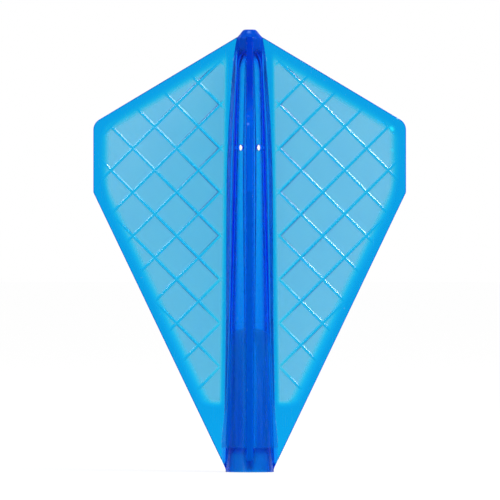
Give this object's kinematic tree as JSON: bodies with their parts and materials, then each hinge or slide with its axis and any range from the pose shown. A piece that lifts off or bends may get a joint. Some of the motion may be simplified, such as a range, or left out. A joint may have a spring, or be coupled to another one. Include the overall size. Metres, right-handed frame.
{
  "type": "moulded dart flight",
  "caption": "Kite-shaped moulded flight with wings at right angles on a hollow stem, push-fitted over a shaft's spigot to steady it in the air.",
  "frame": {"origin": "centre of the socket's mouth, in the plane of the stem's lower end", "axes": "+Z along the stem from the mouth to the tip; the wings lie in the XZ and YZ planes, and the picture looks along +Y"},
  "size_m": [0.031, 0.031, 0.044],
  "materials": {
    "stem_plastic": "clear-tinted blue, polished mould finish",
    "socket_plastic": "clear-tinted blue, polished outside with a dulled bore",
    "root_plastic": "clear-tinted blue, thick, polished mould finish",
    "rim_plastic": "clear-tinted blue, polished mould finish",
    "pane_plastic": "clear-tinted blue, thin, finely frosted",
    "rib_plastic": "clear-tinted blue, fine raised ribs with a polished crest"
  },
  "bodies": {
    "root": {"stem_tube": "stem_plastic", "stem_tip": "stem_plastic", "socket_sleeve": "socket_plastic", "mouth_collar": "socket_plastic", "root_rail_right": "root_plastic", "root_rail_back": "root_plastic", "root_rail_left": "root_plastic", "root_rail_front": "root_plastic", "wing_rim_right": "rim_plastic", "wing_rim_back": "rim_plastic", "wing_rim_left": "rim_plastic", "wing_rim_front": "rim_plastic", "wing_pane_right": "pane_plastic", "wing_pane_back": "pane_plastic", "wing_pane_left": "pane_plastic", "wing_pane_front": "pane_plastic", "wing_lattice_right": "rib_plastic", "wing_lattice_back": "rib_plastic", "wing_lattice_left": "rib_plastic", "wing_lattice_front": "rib_plastic"}
  },
  "joints": []
}
